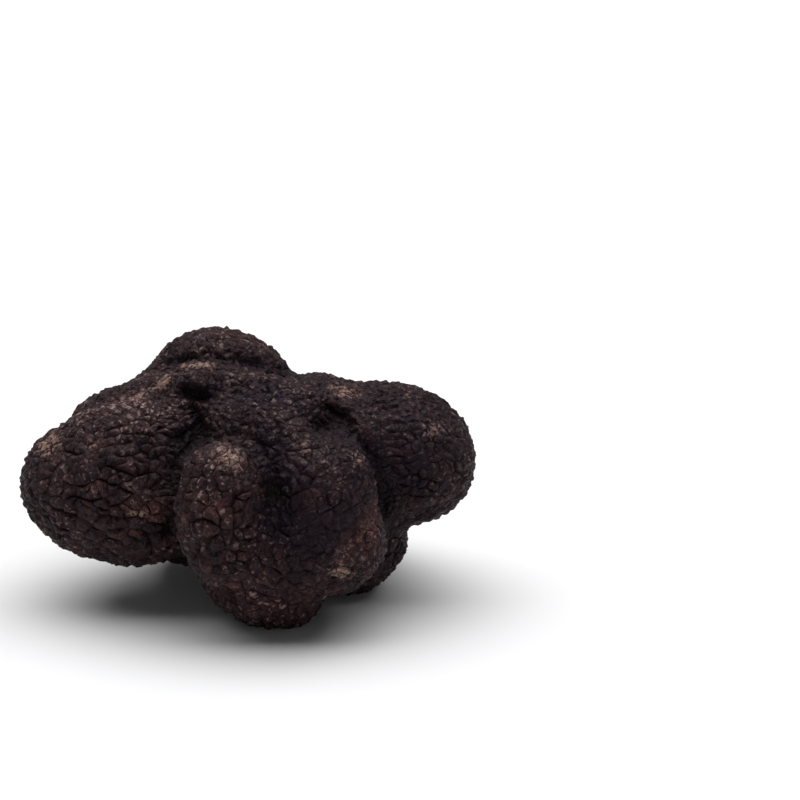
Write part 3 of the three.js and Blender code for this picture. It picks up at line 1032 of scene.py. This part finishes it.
def peridium_colour(r, grain, rise, splits):
    broad, shade = r.noise(BROAD, 3.0), r.attribute("shade")
    # Painted shade darkens the browns and turns them bluer.
    colour = r.mix(shade, wart_browns(r, broad, grain), PAINTED_SHADE_BLUE)
    colour = r.mix(pale_wear_and_highlights(r, broad, rise, shade), colour, PALE_WEAR_AND_HIGHLIGHT)
    colour = r.mix(tan_wear_and_highlights(r, rise), colour, TAN_AND_HIGHLIGHT)
    # Nearly black: splits and grooves by their own dark colour, grooves and creases also by painted shade.
    outside_grooves = r.ramp(rise, -0.05, 0.42)
    outside_painted_crease_shade = r.ramp(r.attribute("crease"), 0.0, 1.0, 1.0, 0.2)
    outside_splits = r.math("MULTIPLY_ADD", splits, 0.55, 0.45)
    return r.mix(r.product(outside_grooves, outside_painted_crease_shade, outside_splits), GROOVE_AND_SHADE_BLACK, colour)


def make_peridium():
    material = bpy.data.materials.new("peridium")
    material.use_nodes = True
    tree = material.node_tree
    bsdf = tree.nodes["Principled BSDF"]
    r = Recipe(tree)
    rise, grain, splits = r.attribute("rise"), r.noise(GRAIN, 3.0, 0.65), r.splits()
    grain_rough, groove_rough = r.ramp(grain, 0.3, 0.75, 0.42, 0.7), r.ramp(rise, 0.1, 0.7, 0.25, 0.0)
    height = r.total((r.crumbs(), 0.55), (r.noise(FOLDS, 3.0, 0.6), 1.5), (splits, 0.3))
    bump = node(tree, "ShaderNodeBump", {"Height": height, "Distance": BUMP_DEPTH / MM, "Strength": 1.0})
    tree.links.new(peridium_colour(r, grain, rise, splits), bsdf.inputs["Base Color"])
    tree.links.new(r.math("ADD", grain_rough, groove_rough), bsdf.inputs["Roughness"])
    tree.links.new(bump.outputs["Normal"], bsdf.inputs["Normal"])
    bsdf.inputs["Specular IOR Level"].default_value = SPECULAR_LEVEL
    bsdf.inputs["Specular Tint"].default_value = SPECULAR_TINT
    return material


mesh.materials.append(make_peridium())

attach(truffle, "root")
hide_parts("truffle")

# ---- the studio, in metres ----
FLOOR_RADIUS = 1.3
FLOOR_CORNERS = 96
FLOOR_COLOUR = (0.82, 0.82, 0.83, 1)
FLOOR_ROUGHNESS = 0.8
# The studio's walls are white at the height of the floor and dim overhead.
WALL_LIGHT, CEILING_LIGHT = 0.95, 0.085
CEILING_SINE = 0.2  # sine of the angle over the floor at which the ceiling begins
# One wide softbox hangs level over the truffle and a little behind it.
SOFTBOX_SIZE = (2.4, 1.4)
SOFTBOX_PLACE = (0, 0.3, 1.3)
SOFTBOX_WATTS = 37.0

turns = [2 * math.pi * k / FLOOR_CORNERS for k in range(FLOOR_CORNERS)]
rim = [(FLOOR_RADIUS * math.cos(turn), FLOOR_RADIUS * math.sin(turn), 0) for turn in turns]
floor_mesh = bpy.data.meshes.new("floor")
floor_mesh.from_pydata(rim, [], [range(FLOOR_CORNERS)])
floor = placed("floor", floor_mesh)
floor_material = bpy.data.materials.new("pale_floor")
floor_material.use_nodes = True
floor_inputs = floor_material.node_tree.nodes["Principled BSDF"].inputs
floor_inputs["Base Color"].default_value = FLOOR_COLOUR
floor_inputs["Roughness"].default_value = FLOOR_ROUGHNESS
floor_mesh.materials.append(floor_material)

world = bpy.data.worlds.new("studio")
world.use_nodes = True
background = world.node_tree.nodes["Background"]
background.inputs["Color"].default_value = (1, 1, 1, 1)
direction = node(world.node_tree, "ShaderNodeTexCoord").outputs["Generated"]
upward = node(world.node_tree, "ShaderNodeSeparateXYZ", {0: direction}).outputs["Z"]
walls = ramp(world.node_tree, upward, 0.0, CEILING_SINE, WALL_LIGHT, CEILING_LIGHT)
world.node_tree.links.new(walls, background.inputs["Strength"])
bpy.context.scene.world = world

softbox = bpy.data.lights.new("softbox", "AREA")
softbox.shape = "RECTANGLE"
softbox.size, softbox.size_y = SOFTBOX_SIZE
softbox.energy = SOFTBOX_WATTS
placed("softbox", softbox).location = SOFTBOX_PLACE

# ---- the camera, in metres ----
VIEW_HEIGHT = math.radians(20)
VIEW_DISTANCE = 0.335
AIM = Vector((0.0232, -0.0003, 0.0322))
LENS, SENSOR = 100, 36  # in mm
NEAREST = 0.01  # nearest that the camera sees

camera_data = bpy.data.cameras.new("camera")
camera_data.lens = LENS
camera_data.sensor_width = SENSOR
camera_data.clip_start = NEAREST
camera = placed("camera", camera_data)
back = Vector((0, -math.cos(VIEW_HEIGHT), math.sin(VIEW_HEIGHT)))
camera.location = AIM + back * VIEW_DISTANCE
camera.rotation_mode = "QUATERNION"
camera.rotation_quaternion = (-back).to_track_quat("-Z", "Y")
bpy.context.scene.camera = camera
bpy.context.scene.view_settings.view_transform = "Standard"
